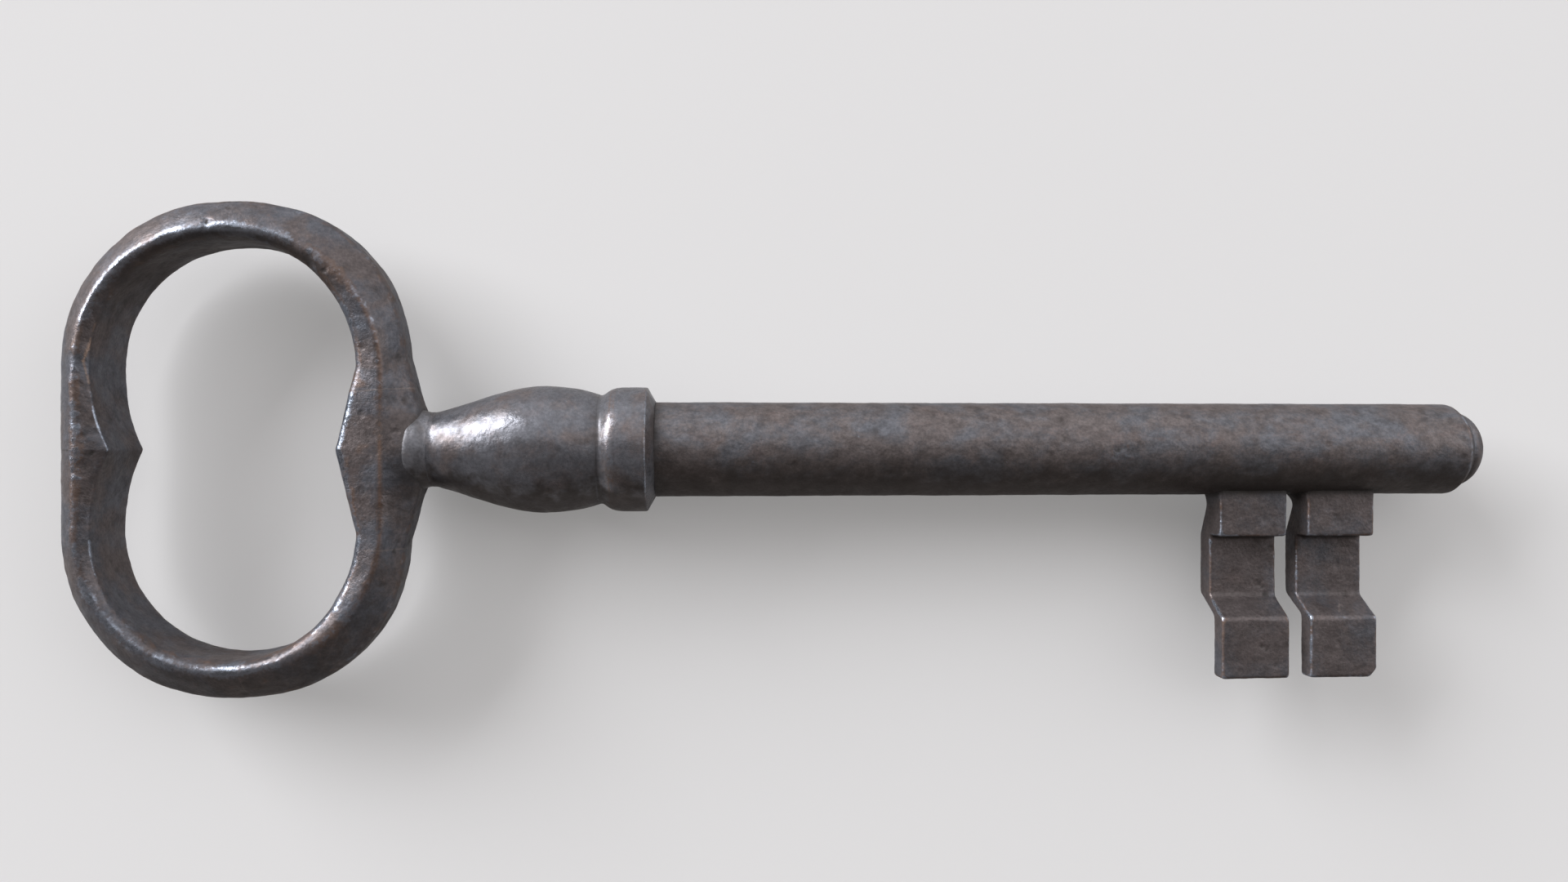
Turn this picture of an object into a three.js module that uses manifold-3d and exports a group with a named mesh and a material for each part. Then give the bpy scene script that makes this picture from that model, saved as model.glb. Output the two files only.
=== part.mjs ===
// Antique iron door key, made up from forged and turned pieces. Millimetres, +Z up.
// The key lies flat. Its shank runs along X with the nose towards +X, the ring of the bow lies in the
// XY plane and the bit points to -Y. The origin is the middle of the key's box, at its lowest point.
import * as THREE from 'three';
import { mergeVertices } from 'three/addons/utils/BufferGeometryUtils.js';
import Module from 'manifold-3d';

const wasm = await Module();
wasm.setup();

// Shank: a round bar with a bullet nose, turned down to a tang at the bow end
const BAR_DIAMETER = 9.53;
const BAR_LENGTH = 86.75; // from the shoulder to the tip of the nose
const NOSE_DOME_LENGTH = 2.6;
const NOSE_CHAMFER_LENGTH = 0.75;
const NOSE_CHAMFER_DEPTH = 0.8;
const TANG_DIAMETER = 5.0;
const TANG_IN_BOW = 3.8;

// Collar: the stop ring against the shoulder of the shank
const COLLAR_DIAMETER = 12.48;
const COLLAR_LENGTH = 5.55;
const COLLAR_TAPER_LENGTH = 1.4;
const COLLAR_CHAMFER_LENGTH = 0.85;
const COLLAR_NOTCH_DIAMETER = 10.94; // where the collar meets the baluster

// Baluster: the turned swelling behind the collar
const BALUSTER_DIAMETER = 12.7;
const BALUSTER_LENGTH = 16.42;
const BELLY_FROM_COLLAR = 5.34;
const NECK_GROOVE_DIAMETER = 7.4; // where the baluster meets the bead
const NECK_SLOPE = 0.284; // rise of the radius along the neck
const NECK_STRAIGHT = 5.5; // how far the neck keeps that slope
const BELLY_LEVEL_BACK = 3.2; // how far the belly stays level towards the neck
const BELLY_LEVEL_FRONT = 2.2; // and towards the collar
const BELLY_FALL = 1.4; // length of its fall to the notch at the collar

// Bead: the short ring between baluster and bow, rounded at its seat and tapered towards the baluster
const BEAD_DIAMETER = 7.84;
const BEAD_LENGTH = 2.28;
const BEAD_EDGE_ROUND = 0.45;
const BEAD_LEVEL_TO = 1.0; // end of its full diameter, from the seat

// Bow: a forged ring, two round caps joined by short straights
const BOW_WIDTH = 32.4;
const BOW_HEIGHT = 48.4;
const BOW_STRAIGHT = 15.0;
const CAP_SQUARENESS_FAR = 2.1; // two is a true round, and more fills out the corners
const CAP_SQUARENESS_NECK = 2.24;
const INNER_SQUARENESS_NECK = 2.0; // of the eye and the ridge
const WALL_FAR = 3.65; // wall of the ring away from the shank
const WALL_SIDE = 3.95;
const WALL_NECK = 4.4;
const INNER_FACE_DEPTH = 6.4;
const OUTER_FACE_DEPTH = 3.0;
const RIDGE_DEPTH = 7.8;
const RIDGE_IN_FAR = 1.15; // distance of the ridge from the eye
const RIDGE_IN_SIDE = 0.9;
const RIDGE_IN_NECK = 2.6;
const RIDGE_WIDTH = 0.45; // width of the ridge's worn top
const RIDGE_WIDTH_NECK = 0.3;
const INNER_EDGE_ROUND = 0.4;
const OUTER_EDGE_ROUND = 0.5;
const FAR_CUSP_HEIGHT = 1.7;
const FAR_CUSP_REACH = 8.1;
const FAR_CUSP_POWER = 2.3; // above one, the flanks of the cusp are hollow
const NECK_CUSP_HEIGHT = 1.94;
const NECK_CUSP_REACH = 8.0;
const SHOULDER_HEIGHT = 2.34;
const SHOULDER_REACH = 9.0;
const BOSS_DEPTH = 4.2; // how much deeper the outer face gets where the shank enters
const BOSS_REACH = 5.2;
const SEAT_RISE = 0.1; // flat seat of the bead, outside the plain line of the ring
const SOCKET_END_GAP = 0.2;

// Pin across the tang
const PIN_DIAMETER = 1.6;
const PIN_BELOW_RIDGE = 0.45;

// Bit: two leaves of one zigzag section, let into the shank
const LEAF_WIDTH = 7.2;
const LEAF_GAP = 2.25;
const LEAF_FROM_NOSE = 12.1;
const BIT_REACH = 23.7; // from the axis of the shank to the lower edge
const MORTISE_DEPTH = 3.2;
const ROOT_FRONT = 2.0;
const ROOT_BACK = 1.2;
const ROOT_FLARE_FROM = 5.9;
const LEDGE_FROM_AXIS = 9.1;
const WEB_SETBACK = 0.33;
const WEB_THICKNESS = 2.32;
const STEP_FROM_AXIS = 15.45;
const STEP_LENGTH = 2.0;
const CHEEK_FRONT = 2.5;
const CHEEK_THICKNESS = 2.0;
const LEAF_CORNER_ROUND = 0.35;
const LEAF_RIM_BEVEL = 0.25;

// Clearances
const SLEEVE_GAP = 0.1; // between the tang and what is threaded on it
const BEAD_GAP = 0.15; // around the bead in its seat
const PIN_GAP = 0.1;
const MORTISE_GAP = 0.1;

// Fineness of the meshes
const TURN_SIDES = 48;
const CURVE_STEPS = 8;
const EDGE_STEPS = 4;
const STRAIGHT_STEPS = 18;
const HALF_ROUND_STEPS = 28;

// Places that follow from the sizes. Along the shank, x is measured from its shoulder.
const shoulder = 0;
const barRadius = BAR_DIAMETER / 2;
const tangRadius = TANG_DIAMETER / 2;
const boreRadius = tangRadius + SLEEVE_GAP;
const collarBack = shoulder - COLLAR_LENGTH;
const balusterBack = collarBack - BALUSTER_LENGTH;
const seatX = balusterBack - BEAD_LENGTH;
const bowX = seatX - SEAT_RISE - BOW_WIDTH / 2;
const pinX = bowX + BOW_WIDTH / 2 - WALL_NECK + RIDGE_IN_NECK; // on the ridge of the neck wall
const outerLeafX = BAR_LENGTH - LEAF_FROM_NOSE - LEAF_WIDTH;
const innerLeafX = outerLeafX - LEAF_GAP - LEAF_WIDTH;
const mortiseFloor = -(barRadius - MORTISE_DEPTH);
const axisHeight = Math.max(BALUSTER_DIAMETER, COLLAR_DIAMETER, BAR_DIAMETER, RIDGE_DEPTH) / 2;
const boxMiddleX = (bowX - BOW_WIDTH / 2 + BAR_LENGTH) / 2;
const boxMiddleY = (BOW_HEIGHT / 2 - Math.max(BOW_HEIGHT / 2, BIT_REACH)) / 2;

function iron(colour, roughness) {
  return new THREE.MeshStandardMaterial({ color: colour, metalness: 0.9, roughness });
}

// Joins the corners that faces share and leaves out faces that have shrunk to a line.
function weld(geometry) {
  geometry.deleteAttribute('normal');
  geometry.deleteAttribute('uv');
  const welded = mergeVertices(geometry, 1e-5);
  const corners = welded.index.array;
  const kept = [];
  for (let i = 0; i < corners.length; i += 3) {
    const [a, b, c] = [corners[i], corners[i + 1], corners[i + 2]];
    if (a !== b && b !== c && c !== a) kept.push(a, b, c);
  }
  welded.setIndex(kept);
  return welded;
}

function toSolid(geometry) {
  const welded = weld(geometry);
  return new wasm.Manifold(new wasm.Mesh({
    numProp: 3,
    vertProperties: new Float32Array(welded.attributes.position.array),
    triVerts: new Uint32Array(welded.index.array),
  }));
}

function toGeometry(solid) {
  const mesh = solid.getMesh();
  const geometry = new THREE.BufferGeometry();
  geometry.setAttribute('position', new THREE.BufferAttribute(mesh.vertProperties, 3));
  geometry.setIndex(new THREE.BufferAttribute(mesh.triVerts, 1));
  return geometry;
}

function piece(name, geometry, material) {
  geometry.computeVertexNormals();
  const mesh = new THREE.Mesh(geometry, material);
  mesh.name = name;
  return mesh;
}

// Turns a profile of [x, radius] points round the X axis.
function turned(profile) {
  const points = profile.map(([x, radius]) => new THREE.Vector2(radius, x));
  return new THREE.LatheGeometry(points, TURN_SIDES).rotateZ(-Math.PI / 2);
}

// A turned ring with a plain bore: the outline runs from its back to its front.
function sleeve(outline) {
  const back = outline[0][0];
  const front = outline.at(-1)[0];
  return turned([[back, boreRadius], ...outline, [front, boreRadius], [back, boreRadius]]);
}

// A round bar between two places on the X axis, for drilling.
function drill(radius, from, to) {
  return turned([[from, 0], [from, radius], [to, radius], [to, 0]]);
}

// Points of a curve through four control points, as [x, radius].
function sweepOf(start, startPull, endPull, end) {
  const curve = new THREE.CubicBezierCurve(
    new THREE.Vector2(...start),
    new THREE.Vector2(...startPull),
    new THREE.Vector2(...endPull),
    new THREE.Vector2(...end),
  );
  return curve.getPoints(CURVE_STEPS).map((p) => [p.x, p.y]);
}

// A block that cuts the mortise for one leaf out of the shank.
function mortiseCutter(leafX) {
  const width = LEAF_WIDTH + 2 * MORTISE_GAP;
  const thickness = ROOT_FRONT + ROOT_BACK + 2 * MORTISE_GAP;
  const top = mortiseFloor + MORTISE_GAP;
  const bottom = -BAR_DIAMETER;
  const block = new THREE.BoxGeometry(width, top - bottom, thickness);
  block.translate(leafX + LEAF_WIDTH / 2, (top + bottom) / 2, (ROOT_FRONT - ROOT_BACK) / 2);
  return toSolid(block);
}

// A round bar across the tang at the place of the pin.
function crossBar(radius, length) {
  const bar = new THREE.CylinderGeometry(radius, radius, length, TURN_SIDES / 2);
  return bar.rotateX(Math.PI / 2).translate(pinX, 0, 0);
}

function pinCutter() {
  return toSolid(crossBar(PIN_DIAMETER / 2 + PIN_GAP, 2 * RIDGE_DEPTH));
}

function shank() {
  const domeStart = BAR_LENGTH - NOSE_DOME_LENGTH;
  const domeRadius = barRadius - NOSE_CHAMFER_DEPTH;
  const dome = [];
  for (let i = 0; i <= CURVE_STEPS; i += 1) {
    const turn = (i / CURVE_STEPS) * (Math.PI / 2);
    const radius = i === CURVE_STEPS ? 0 : domeRadius * Math.cos(turn);
    dome.push([domeStart + NOSE_DOME_LENGTH * Math.sin(turn), radius]);
  }
  const tangEnd = seatX - TANG_IN_BOW;
  const profile = [
    [tangEnd, 0],
    [tangEnd, tangRadius],
    [shoulder, tangRadius],
    [shoulder, barRadius],
    [domeStart - NOSE_CHAMFER_LENGTH, barRadius],
    ...dome,
  ];
  let solid = toSolid(turned(profile));
  for (const leafX of [innerLeafX, outerLeafX]) solid = solid.subtract(mortiseCutter(leafX));
  solid = solid.subtract(pinCutter());
  return piece('shank', toGeometry(solid), iron(0x504a48, 0.5));
}

function collar() {
  const radius = COLLAR_DIAMETER / 2;
  const outline = [
    [collarBack, COLLAR_NOTCH_DIAMETER / 2],
    [collarBack + COLLAR_TAPER_LENGTH, radius],
    [shoulder - COLLAR_CHAMFER_LENGTH, radius],
    [shoulder, barRadius],
  ];
  return piece('collar', weld(sleeve(outline)), iron(0x5a5553, 0.4));
}

function baluster() {
  const radius = BALUSTER_DIAMETER / 2;
  const bellyX = collarBack - BELLY_FROM_COLLAR;
  const neckRadius = NECK_GROOVE_DIAMETER / 2;
  const notchRadius = COLLAR_NOTCH_DIAMETER / 2;
  const neck = sweepOf(
    [balusterBack, neckRadius],
    [balusterBack + NECK_STRAIGHT, neckRadius + NECK_SLOPE * NECK_STRAIGHT],
    [bellyX - BELLY_LEVEL_BACK, radius],
    [bellyX, radius],
  );
  const belly = sweepOf(
    [bellyX, radius],
    [bellyX + BELLY_LEVEL_FRONT, radius],
    [collarBack - BELLY_FALL, (radius + notchRadius) / 2],
    [collarBack, notchRadius],
  );
  return piece('baluster', weld(sleeve([...neck, ...belly.slice(1)])), iron(0x605b59, 0.35));
}

function neckBead() {
  const radius = BEAD_DIAMETER / 2;
  const edge = [];
  for (let i = 0; i <= EDGE_STEPS; i += 1) {
    const turn = (i / EDGE_STEPS) * (Math.PI / 2);
    const x = seatX + BEAD_EDGE_ROUND * (1 - Math.cos(turn));
    edge.push([x, radius - BEAD_EDGE_ROUND * (1 - Math.sin(turn))]);
  }
  const taper = [[seatX + BEAD_LEVEL_TO, radius], [seatX + BEAD_LENGTH, NECK_GROOVE_DIAMETER / 2]];
  return piece('neck_bead', weld(sleeve([...edge, ...taper])), iron(0x5f5a58, 0.35));
}

// A point of a line round the ring, such as the eye, the ridge or the outer line. The line is given by
// how far it lies from the ring's middle and how square its caps are on the side of the neck.
function ringLine(far, near, height, neckSquareness, along) {
  const halfStraight = BOW_STRAIGHT / 2;
  const reach = along.across > 0 ? near : far;
  const squareness = along.across > 0 ? neckSquareness : CAP_SQUARENESS_FAR;
  const bent = (share) => Math.sign(share) * Math.abs(share) ** (2 / squareness);
  const y = along.straight * halfStraight + bent(along.up) * (height - halfStraight);
  return new THREE.Vector3(reach * bent(along.across), y, 0);
}

// Height of a cusp or shoulder at a distance from its tip.
function tipped(height, reach, power, distance) {
  const share = Math.max(0, 1 - Math.abs(distance) / reach);
  return height * share ** power;
}

// Height of a round swelling at a distance from its middle.
function swelling(height, reach, distance) {
  const share = Math.min(1, Math.abs(distance) / reach);
  return height * (1 - share ** 2) ** 2;
}

// The stations of the ring, anticlockwise from the foot of the neck wall.
function ringStations() {
  const stations = [];
  for (const side of [1, -1]) {
    for (let i = 0; i < STRAIGHT_STEPS; i += 1) {
      stations.push({ across: side, straight: side * (-1 + (2 * i) / STRAIGHT_STEPS), up: 0 });
    }
    for (let i = 0; i < HALF_ROUND_STEPS; i += 1) {
      const turn = (i / HALF_ROUND_STEPS) * Math.PI;
      stations.push({ across: side * Math.cos(turn), straight: side, up: side * Math.sin(turn) });
    }
  }
  return stations;
}

// Rounds one corner of a section with two points, or three where a middle one is asked for.
function roundedCorner(before, corner, after, radius, withMiddle) {
  const start = corner.clone().add(before.clone().sub(corner).setLength(radius));
  const end = corner.clone().add(after.clone().sub(corner).setLength(radius));
  if (!withMiddle) return [start, end];
  const middle = start.clone().add(end).add(corner).add(corner).multiplyScalar(0.25);
  return [start, middle, end];
}

// One border of the ridge's worn top: side is -1 for the border towards the eye and 1 for the other.
function ridgeBorder(side, along) {
  const half = BOW_WIDTH / 2;
  return ringLine(
    half - WALL_FAR + RIDGE_IN_FAR + (side * RIDGE_WIDTH) / 2,
    half - WALL_NECK + RIDGE_IN_NECK + (side * RIDGE_WIDTH_NECK) / 2,
    BOW_HEIGHT / 2 - WALL_SIDE + RIDGE_IN_SIDE + (side * RIDGE_WIDTH) / 2,
    INNER_SQUARENESS_NECK,
    along,
  );
}

// The closed section of the ring at one station: eye face, ridges and outer face.
function ringSection(along) {
  const half = BOW_WIDTH / 2;
  const eyeHeight = BOW_HEIGHT / 2 - WALL_SIDE;
  const eye = ringLine(half - WALL_FAR, half - WALL_NECK, eyeHeight, INNER_SQUARENESS_NECK, along);
  const ridgeInner = ridgeBorder(-1, along);
  const ridgeOuter = ridgeBorder(1, along);
  const outer = ringLine(half, half, BOW_HEIGHT / 2, CAP_SQUARENESS_NECK, along);
  let outerDepth = OUTER_FACE_DEPTH / 2;
  if (along.across > 0) {
    outerDepth += swelling(BOSS_DEPTH / 2, BOSS_REACH, outer.y);
    eye.x -= tipped(NECK_CUSP_HEIGHT, NECK_CUSP_REACH, 1, eye.y);
    outer.x += tipped(SHOULDER_HEIGHT, SHOULDER_REACH, 1, outer.y);
  } else {
    eye.x += tipped(FAR_CUSP_HEIGHT, FAR_CUSP_REACH, FAR_CUSP_POWER, eye.y);
  }
  const raised = (point, depth) => new THREE.Vector3(point.x, point.y, depth);
  const corners = [
    { at: raised(eye, INNER_FACE_DEPTH / 2), round: INNER_EDGE_ROUND },
    { at: raised(ridgeInner, RIDGE_DEPTH / 2) },
    { at: raised(ridgeOuter, RIDGE_DEPTH / 2) },
    { at: raised(outer, outerDepth), round: OUTER_EDGE_ROUND },
    { at: raised(outer, -outerDepth), round: OUTER_EDGE_ROUND },
    { at: raised(ridgeOuter, -RIDGE_DEPTH / 2) },
    { at: raised(ridgeInner, -RIDGE_DEPTH / 2) },
    { at: raised(eye, -INNER_FACE_DEPTH / 2), round: INNER_EDGE_ROUND },
  ];
  return corners.flatMap((corner, i) => {
    if (!corner.round) return [corner.at];
    const before = corners.at(i - 1).at;
    const after = corners[(i + 1) % corners.length].at;
    return roundedCorner(before, corner.at, after, corner.round, false);
  });
}

// Skins the sections of the ring into one closed surface.
function forgedRing() {
  const sections = ringStations().map(ringSection);
  const size = sections[0].length;
  const positions = sections.flat().flatMap((p) => [p.x, p.y, p.z]);
  const faces = [];
  sections.forEach((section, i) => {
    const next = (i + 1) % sections.length;
    for (let k = 0; k < size; k += 1) {
      const a = i * size + k;
      const b = i * size + ((k + 1) % size);
      const c = next * size + ((k + 1) % size);
      const d = next * size + k;
      faces.push(a, b, c, a, c, d);
    }
  });
  const geometry = new THREE.BufferGeometry();
  geometry.setAttribute('position', new THREE.Float32BufferAttribute(positions, 3));
  geometry.setIndex(faces);
  return geometry.translate(bowX, 0, 0);
}

function bow() {
  const socketEnd = seatX - TANG_IN_BOW - SOCKET_END_GAP;
  const solid = toSolid(forgedRing())
    .subtract(toSolid(drill(boreRadius, socketEnd, shoulder)))
    .subtract(toSolid(drill(BEAD_DIAMETER / 2 + BEAD_GAP, seatX, shoulder)))
    .subtract(pinCutter());
  return piece('bow', toGeometry(solid), iron(0x57514f, 0.45));
}

function bowPin() {
  const pin = crossBar(PIN_DIAMETER / 2, RIDGE_DEPTH - 2 * PIN_BELOW_RIDGE);
  return piece('bow_pin', weld(pin), iron(0x57514f, 0.5));
}

// The zigzag of a leaf seen from the nose, as [y, z] from the axis of the shank, front side first.
function leafOutline() {
  const webBack = -WEB_SETBACK - WEB_THICKNESS;
  const stepEnd = STEP_FROM_AXIS + STEP_LENGTH;
  const plain = [
    [mortiseFloor, ROOT_FRONT],
    [-LEDGE_FROM_AXIS, ROOT_FRONT],
    [-LEDGE_FROM_AXIS, -WEB_SETBACK],
    [-STEP_FROM_AXIS, -WEB_SETBACK],
    [-stepEnd, CHEEK_FRONT],
    [-BIT_REACH, CHEEK_FRONT],
    [-BIT_REACH, CHEEK_FRONT - CHEEK_THICKNESS],
    [-stepEnd, CHEEK_FRONT - CHEEK_THICKNESS],
    [-STEP_FROM_AXIS, webBack],
    [-LEDGE_FROM_AXIS, webBack],
    [-ROOT_FLARE_FROM, -ROOT_BACK],
    [mortiseFloor, -ROOT_BACK],
  ].map(([y, z]) => new THREE.Vector3(y, z, 0));
  return plain.flatMap((corner, i) => {
    const inMortise = corner.x === mortiseFloor;
    if (inMortise) return [corner];
    const before = plain.at(i - 1);
    const after = plain[(i + 1) % plain.length];
    return roundedCorner(before, corner, after, LEAF_CORNER_ROUND, true);
  });
}

function bitLeaf(name, leafX) {
  const shape = new THREE.Shape(leafOutline().map((p) => new THREE.Vector2(p.x, p.y)));
  const leaf = new THREE.ExtrudeGeometry(shape, {
    depth: LEAF_WIDTH - 2 * LEAF_RIM_BEVEL,
    bevelSize: LEAF_RIM_BEVEL,
    bevelThickness: LEAF_RIM_BEVEL,
    bevelOffset: -LEAF_RIM_BEVEL,
    bevelSegments: 2,
    steps: 1,
  });
  // The outline is drawn in y and z and pulled along x.
  leaf.applyMatrix4(new THREE.Matrix4().makeBasis(
    new THREE.Vector3(0, 1, 0), new THREE.Vector3(0, 0, 1), new THREE.Vector3(1, 0, 0),
  ));
  leaf.translate(leafX + LEAF_RIM_BEVEL, 0, 0);
  return piece(name, weld(leaf), iron(0x4c4745, 0.5));
}

const key = new THREE.Group();
key.add(
  shank(),
  collar(),
  baluster(),
  neckBead(),
  bow(),
  bowPin(),
  bitLeaf('inner_bit_leaf', innerLeafX),
  bitLeaf('outer_bit_leaf', outerLeafX),
);
key.position.set(-boxMiddleX, -boxMiddleY, axisHeight);

export default key;
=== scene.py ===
"""Looks of the antique iron door key: forged bow, turned stem, round shank and zigzag bit.

Everything is in metres in the key's own frame: shank along X, bit towards -Y, and the floor at Z = 0.
"""
import math

import bmesh
import bpy
import numpy as np
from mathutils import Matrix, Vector, noise
from mathutils.bvhtree import BVHTree
from mathutils.kdtree import KDTree


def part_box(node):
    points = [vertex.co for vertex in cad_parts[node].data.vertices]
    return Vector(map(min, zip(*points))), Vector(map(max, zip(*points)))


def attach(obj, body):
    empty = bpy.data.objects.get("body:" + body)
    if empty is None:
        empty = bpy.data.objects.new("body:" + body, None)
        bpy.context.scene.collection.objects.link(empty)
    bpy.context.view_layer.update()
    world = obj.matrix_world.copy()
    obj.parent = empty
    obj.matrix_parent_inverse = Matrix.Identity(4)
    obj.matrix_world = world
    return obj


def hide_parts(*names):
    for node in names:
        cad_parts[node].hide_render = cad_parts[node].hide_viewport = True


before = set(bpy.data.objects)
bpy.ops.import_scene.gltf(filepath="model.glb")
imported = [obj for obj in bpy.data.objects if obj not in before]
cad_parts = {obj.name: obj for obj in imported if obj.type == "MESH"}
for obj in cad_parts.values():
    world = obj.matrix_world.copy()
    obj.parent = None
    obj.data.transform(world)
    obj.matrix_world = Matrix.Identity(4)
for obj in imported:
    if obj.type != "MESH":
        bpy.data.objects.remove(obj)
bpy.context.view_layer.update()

MM = 0.001

# Places read from the frame
shank_low, shank_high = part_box("shank")
collar_low, collar_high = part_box("collar")
baluster_low, baluster_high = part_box("baluster")
bead_low, bead_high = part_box("neck_bead")
bow_low, bow_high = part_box("bow")
AXIS_Z = (shank_low.z + shank_high.z) / 2
SHOULDER_X = collar_high.x
BAR_RADIUS = (shank_high.y - shank_low.y) / 2
COLLAR_RADIUS = (collar_high.y - collar_low.y) / 2
BALUSTER_RADIUS = (baluster_high.y - baluster_low.y) / 2
BEAD_RADIUS = (bead_high.y - bead_low.y) / 2
BOW_HALF_HEIGHT = (bow_high.y - bow_low.y) / 2

# Stem
TANG_RADIUS = 2.5 * MM
BORE_RADIUS = 2.6 * MM
NOSE_DOME_LENGTH = 2.6 * MM
NOSE_CHAMFER_LENGTH = 0.75 * MM
NOSE_CHAMFER_DEPTH = 0.8 * MM
NOSE_CHAMFER_ROUND = 0.25 * MM
NOSE_DOME_ROUND = 0.3 * MM
NOSE_DOME_PARTS = 24
TANG_ROUND = 0.3 * MM
COLLAR_TAPER_LENGTH = 1.4 * MM
COLLAR_CHAMFER_LENGTH = 0.85 * MM
COLLAR_TOP_ROUND = 1.3 * MM
COLLAR_CHAMFER_ROUND = 0.14 * MM
NOTCH_RADIUS = 5.47 * MM
NOTCH_LENGTH = 0.3 * MM
NOTCH_FALL = 0.02 * MM
NOTCH_ROUND = 0.3 * MM
BELLY_FROM_COLLAR = 5.34 * MM
GROOVE_RADIUS = 3.7 * MM
GROOVE_LENGTH = 0.8 * MM
NECK_STRAIGHT = 5.5 * MM
NECK_SLOPE = 0.284
BELLY_LEVEL_BACK = 3.2 * MM
BELLY_LEVEL_FRONT = 2.2 * MM
BELLY_FALL = 1.4 * MM
BEAD_IN_BOW = 0.25 * MM
BEAD_BACK_LENGTH = 0.3 * MM
BEAD_BACK_DROP = 0.45 * MM
BEAD_BACK_ROUND = 0.35 * MM
BEAD_TOP_ROUND = 0.5 * MM
BEAD_LEVEL_TO = 1.0 * MM

# Bow
BOW_HALF_WIDTH = 16.2 * MM
BOW_HALF_STRAIGHT = 7.5 * MM
CAP_SQUARENESS_FAR = 2.1  # two is a true round
CAP_SQUARENESS_NECK = 2.24
INNER_SQUARENESS_NECK = 2.0  # of the eye and the ridge
WALL_FAR = 3.65 * MM
WALL_SIDE = 3.95 * MM
WALL_NECK = 4.4 * MM
RIDGE_IN_FAR = 1.15 * MM
RIDGE_IN_SIDE = 0.9 * MM
RIDGE_IN_NECK = 2.6 * MM
EYE_HALF_DEPTH = 3.2 * MM
RIDGE_HALF_DEPTH = 3.9 * MM
RIM_HALF_DEPTH = 1.5 * MM
BOSS_HALF_DEPTH = 2.1 * MM
BOSS_REACH = 5.2 * MM
FAR_CUSP = (1.7 * MM, 8.1 * MM, 2.3)  # height, reach and hollowness
NECK_CUSP = (1.94 * MM, 8.0 * MM, 1.0)
SHOULDER = (2.34 * MM, 9.0 * MM, 1.0)
TIP_SOFTNESS = 0.12 * MM
BOW_X = bow_low.x + BOW_HALF_WIDTH

# How far the corners of the ring's section are eased, and into how many parts the side after each is cut
EYE_ROUND = 0.3 * MM
EYE_ROUND_NECK = 0.8 * MM
EYE_ROUND_END = 1.3 * MM
RIDGE_ROUND = 1.4 * MM
RIDGE_ROUND_NECK = 0.4 * MM
RIDGE_LIFT = 0.1 * MM  # makes up for what the rounding takes off
SWELL = 0.26 * MM  # of the slope between ridge and rim
SWELL_PLACE = 0.5
SWELL_ROUND = 0.9 * MM
RIM_ROUND = 0.6 * MM
CORNER_STEPS = 7
PARTS_OF_SIDES = (4, 3, 5, 10, 5, 3, 4, 24)

# Bit, measured from the axis of the shank
BIT_REACH = 23.7 * MM
ROOT_FRONT = 2.0 * MM
ROOT_BACK = 1.2 * MM
ROOT_FLARE_FROM = 5.9 * MM
ROOT_TOP = 1.565 * MM
LEDGE = 9.1 * MM
WEB_SETBACK = 0.33 * MM
WEB_THICKNESS = 2.32 * MM
STEP = 15.45 * MM
STEP_LENGTH = 2.0 * MM
CHEEK_FRONT = 2.5 * MM
CHEEK_THICKNESS = 2.0 * MM
FLARE_HEIGHT = 1.7 * MM
FLARE_INSIDE = 0.4 * MM
INNER_FLARE = (0.5 * MM, 0.35 * MM)  # towards the bow and towards the nose
OUTER_FLARE = (1.35 * MM, 0.3 * MM)
LEAF_ROUND = 0.3 * MM
LEAF_RIM_ROUND = 0.28 * MM
LEAF_RIM_ANGLE = math.radians(50)
WORN_CORNER_SETBACK = 0.95 * MM
WORN_CORNER_DIRECTION = (0.75, -0.65, 0)
WORN_CORNER_SHARE = 0.96  # of what stands over the worn plane

# Fineness of the meshes
SKIN_STEP = 0.22 * MM
STRAIGHT_DENSITY = 1.3  # stations on the bow's straight walls, against one to each step
ROUND_SPACING = 1.15  # steps to each station on the bow's round ends
CUSP_CROWDING = 1.4  # one spaces the stations of the straight walls evenly
EASE_LIMIT = 0.45  # as a share of the side that a rounded corner takes up
MERGE_DISTANCE = 1e-7
VOXEL = 0.13 * MM
LEAF_SMOOTHING = 3
SHARP_ANGLE = math.radians(40)

# Lumps of hammer and file, as (depth, size, seed of the noise)
SHANK_LUMPS = (0.035 * MM, 3.0 * MM, 1)
COLLAR_LUMPS = (0.03 * MM, 2.4 * MM, 5)
BALUSTER_LUMPS = (0.05 * MM, 3.4 * MM, 9)
BEAD_LUMPS = (0.03 * MM, 2.0 * MM, 13)
BOW_LUMPS = (0.08 * MM, 4.0 * MM, 21)
INNER_LUMPS = (0.04 * MM, 2.2 * MM, 31)
OUTER_LUMPS = (0.04 * MM, 2.2 * MM, 37)
LUMP_OCTAVES = ((1.0, 1.0), (0.5, 0.4), (0.34, 0.16))  # shares of the depth and of the size

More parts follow.
